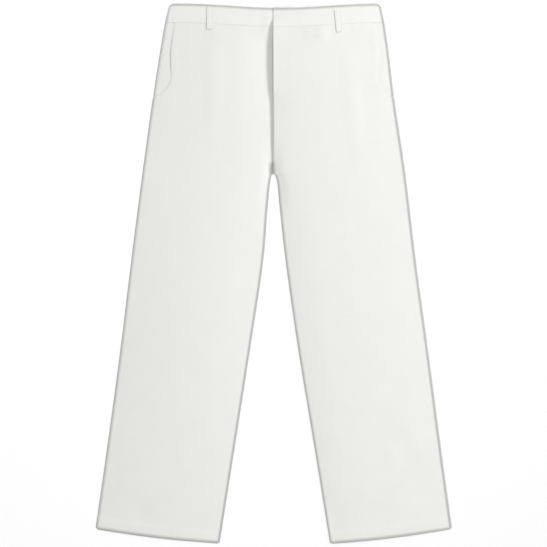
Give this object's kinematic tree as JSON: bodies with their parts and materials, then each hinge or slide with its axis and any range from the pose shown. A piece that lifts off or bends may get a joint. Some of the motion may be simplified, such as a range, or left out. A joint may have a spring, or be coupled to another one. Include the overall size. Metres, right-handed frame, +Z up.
{
  "type": "linen trousers",
  "caption": "Straight wide-leg linen trousers with a lapped fly, waistband, belt loops and side pockets, laid flat front up.",
  "frame": {"origin": "on the surface that the trousers lie on, under the middle of their outline", "axes": "+Y from the hems to the waist, +Z up out of the surface, front side up, the wearer's left leg towards +X"},
  "size_m": [0.703, 1.065, 0.0097],
  "materials": {
    "linen": "off-white plain-weave linen, matt, with soft creases",
    "linen_band": "off-white plain-weave linen, doubled and pressed flat"
  },
  "bodies": {
    "root": {"back_right_leg": "linen", "back_left_leg": "linen", "front_right_leg": "linen", "front_left_leg": "linen", "fly_shield": "linen", "pocket_facing_right": "linen", "pocket_facing_left": "linen", "waistband_back": "linen_band", "waistband_right": "linen_band", "waistband_left": "linen_band", "belt_loop_front_right": "linen_band", "belt_loop_front_left": "linen_band", "belt_loop_back_centre": "linen_band", "belt_loop_back_right": "linen_band", "belt_loop_back_left": "linen_band"}
  },
  "joints": []
}
